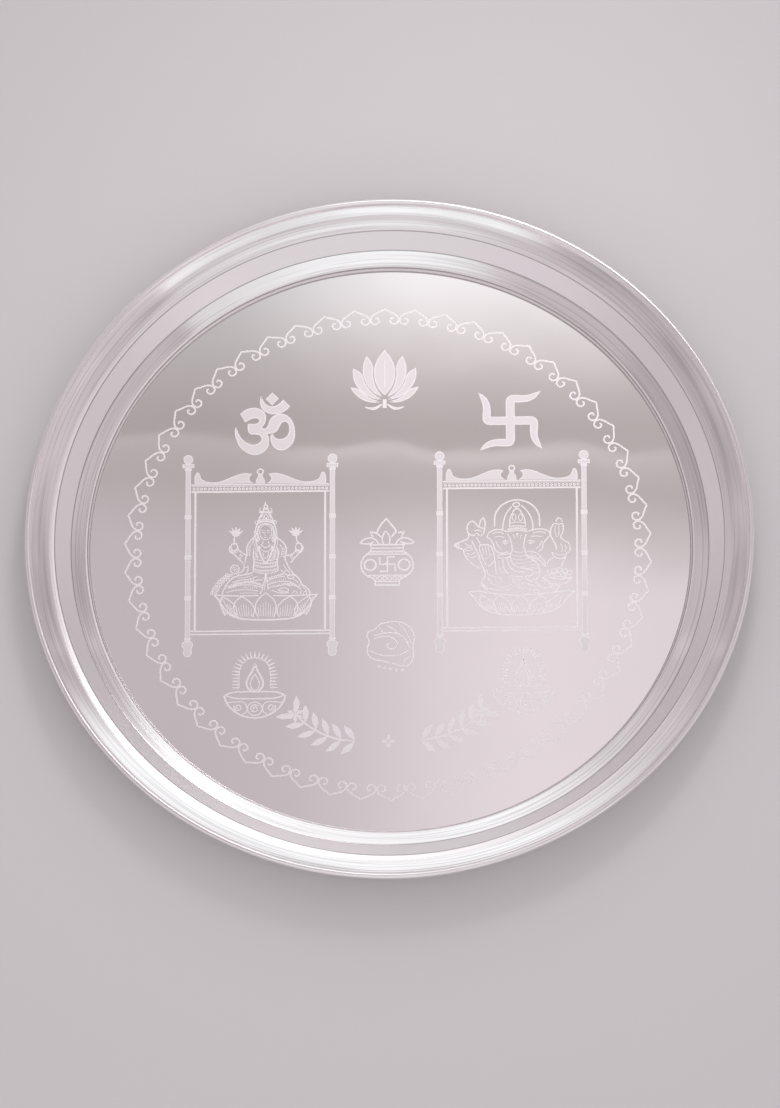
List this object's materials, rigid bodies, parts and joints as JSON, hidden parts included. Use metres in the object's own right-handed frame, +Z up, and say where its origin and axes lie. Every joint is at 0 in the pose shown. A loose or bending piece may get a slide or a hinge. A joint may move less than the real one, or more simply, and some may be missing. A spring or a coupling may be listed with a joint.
{
  "type": "puja thali",
  "caption": "Round shallow silver plate with a stepped, flared rim and a rolled wire edge, its flat floor etched with devotional symbols; holds lamps and offerings for worship.",
  "frame": {"origin": "centre of the flat underside that the plate stands on", "axes": "+Z up along the axis that the plate is spun about, +Y away from the viewer of the etched picture, +X to that viewer's right"},
  "size_m": [0.3, 0.3, 0.0176],
  "materials": {
    "silver_sheet": "polished silver with fine turning lines on its bands and a frosted etched picture on its floor",
    "silver_wire": "drawn silver wire"
  },
  "bodies": {
    "root": {"pan": "silver_sheet", "rim_wire": "silver_wire"}
  },
  "joints": []
}
